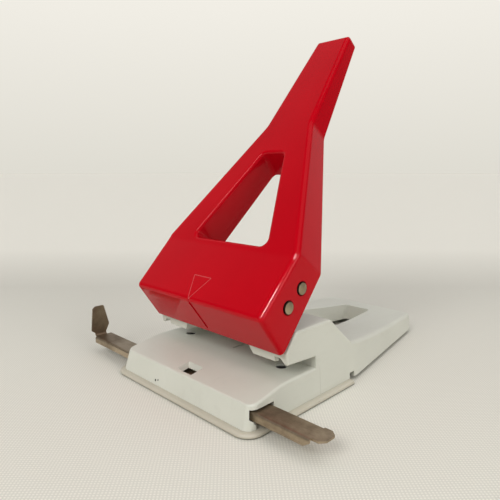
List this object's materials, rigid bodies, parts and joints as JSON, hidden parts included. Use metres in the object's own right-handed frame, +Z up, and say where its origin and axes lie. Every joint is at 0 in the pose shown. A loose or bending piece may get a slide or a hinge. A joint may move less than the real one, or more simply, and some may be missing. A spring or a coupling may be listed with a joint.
{
  "type": "paper drill",
  "caption": "Desk paper drill: a long cranked lever over a cast base presses paired punches; a sliding rail stops the sheet and a tray catches the chips.",
  "frame": {"origin": "on the rest plane (underside of the chip tray), straight below the middle of the two punch axes", "axes": "+X to the operator's right along the rail, +Y away from the operator towards the rear frame, +Z up"},
  "size_m": [0.1978, 0.2071, 0.2163],
  "materials": {
    "base_enamel": "light grey gloss enamel on a die-casting",
    "lever_enamel": "red gloss enamel on a die-casting",
    "tray_plastic": "cream soft plastic, satin",
    "rail_nickel": "dull brownish nickel on pressed sheet",
    "pin_steel": "dull nickel, domed ends",
    "tool_steel": "ground and hardened",
    "spring_steel": "oiled spring steel",
    "plated_sheet": "zinc plated",
    "foot_rubber": "matt black rubber"
  },
  "bodies": {
    "base": {"base_casting": "base_enamel", "pivot_pin": "pin_steel", "pivot_pin_rings": "spring_steel", "guide_bush_left": "tool_steel", "guide_bush_right": "tool_steel", "die_bush_left": "tool_steel", "die_bush_right": "tool_steel", "rail_cover": "plated_sheet", "rail_spring": "spring_steel", "rail_cover_screws": "plated_sheet", "rear_foot_left": "foot_rubber", "rear_foot_right": "foot_rubber"},
    "lever": {"lever_casting": "lever_enamel", "drive_pin": "pin_steel", "drive_pin_rings": "spring_steel"},
    "punch_unit_left": {"punch_left": "tool_steel", "crosshead_left": "tool_steel", "spring_collar_left": "plated_sheet", "return_spring_left": "spring_steel"},
    "punch_unit_right": {"punch_right": "tool_steel", "crosshead_right": "tool_steel", "spring_collar_right": "plated_sheet", "return_spring_right": "spring_steel"},
    "rail": {"format_rail": "rail_nickel"},
    "tray": {"chip_tray": "tray_plastic"}
  },
  "joints": [
    {"name": "lever_hinge", "type": "hinge", "parent": "base", "child": "lever", "pos_m": [0, -0.0121, 0.05819], "axis": [-1, 0, 0], "range_deg": [0, 50], "stiffness_Nm_per_rad": 0.6, "springref_deg": -29.79},
    {"name": "punch_slide_left", "type": "slide", "parent": "base", "child": "punch_unit_left", "axis": [0, 0, -1], "range_m": [0, 0.01103], "deforming": ["return_spring_left"]},
    {"name": "punch_slide_right", "type": "slide", "parent": "base", "child": "punch_unit_right", "axis": [0, 0, -1], "range_m": [0, 0.01103], "deforming": ["return_spring_right"]},
    {"name": "rail_slide", "type": "slide", "parent": "base", "child": "rail", "axis": [1, 0, 0], "range_m": [-0.03, 0.041]},
    {"name": "tray_pull_off", "type": "slide", "parent": "base", "child": "tray", "axis": [0, 0, -1], "range_m": [0, 0.02]}
  ],
  "couplings": [
    {"joint": "punch_slide_left", "follows": "lever_hinge", "m_per_rad": 0.012631},
    {"joint": "punch_slide_right", "follows": "lever_hinge", "m_per_rad": 0.012631}
  ]
}
